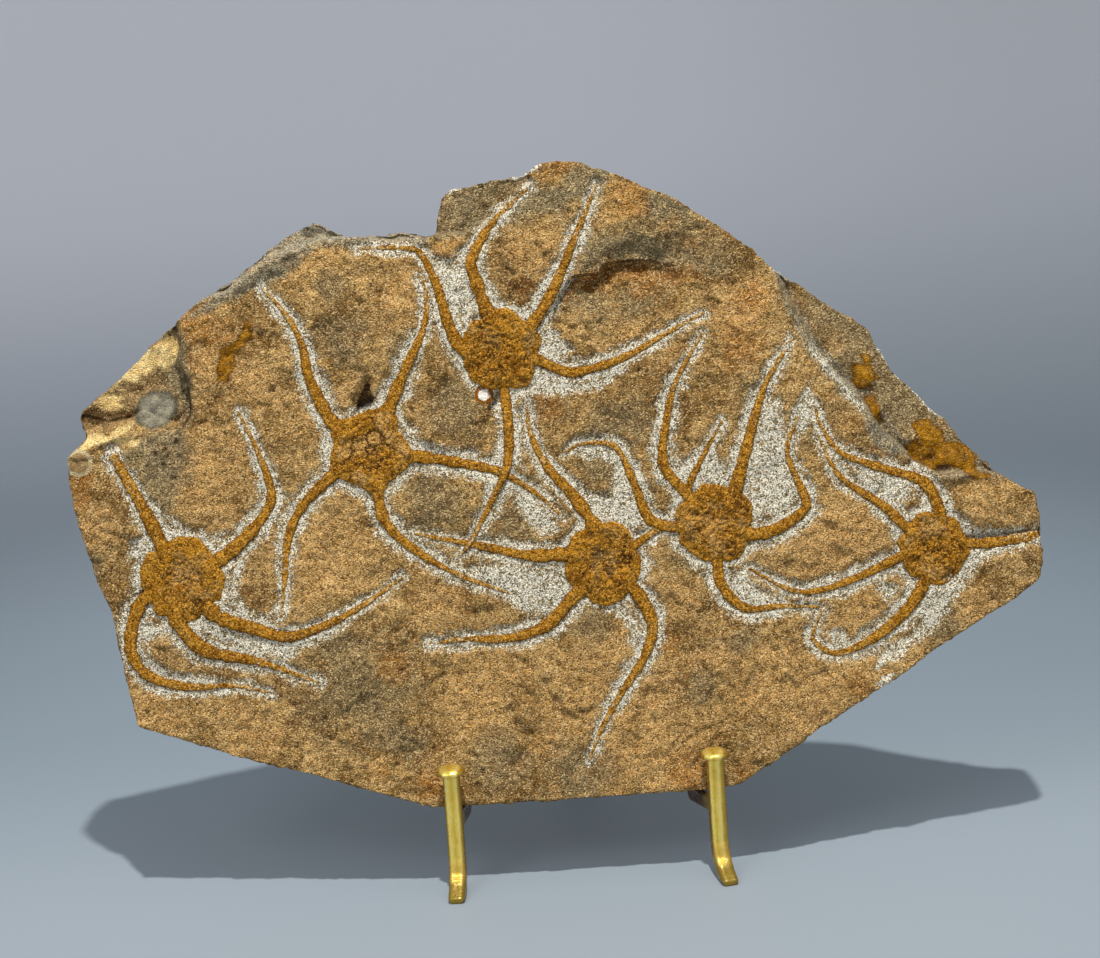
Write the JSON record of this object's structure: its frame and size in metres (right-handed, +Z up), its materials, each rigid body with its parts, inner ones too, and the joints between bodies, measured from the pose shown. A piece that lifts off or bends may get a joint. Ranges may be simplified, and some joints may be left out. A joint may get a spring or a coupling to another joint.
{
  "type": "fossil brittle-star plate",
  "caption": "Broken sandstone slab with brittle stars in low relief, leaning in a small three-legged brass easel.",
  "frame": {"origin": "middle of the bounding box at table level, under the easel", "axes": "+X to the right across the slab's length, +Y back from the fossil face, +Z up"},
  "size_m": [0.317, 0.1204, 0.2295],
  "materials": {
    "sandstone": "matte",
    "fossil": "matte",
    "brass": "satin"
  },
  "bodies": {
    "root": {"slab": "sandstone", "brittle_star_left": "fossil", "brittle_star_lower_left": "fossil", "brittle_star_right": "fossil", "brittle_star_centre": "fossil", "brittle_star_far_right": "fossil", "brittle_star_top": "fossil", "left_leg": "brass", "right_leg": "brass", "cross_rod": "brass", "rear_leg": "brass"}
  },
  "joints": []
}
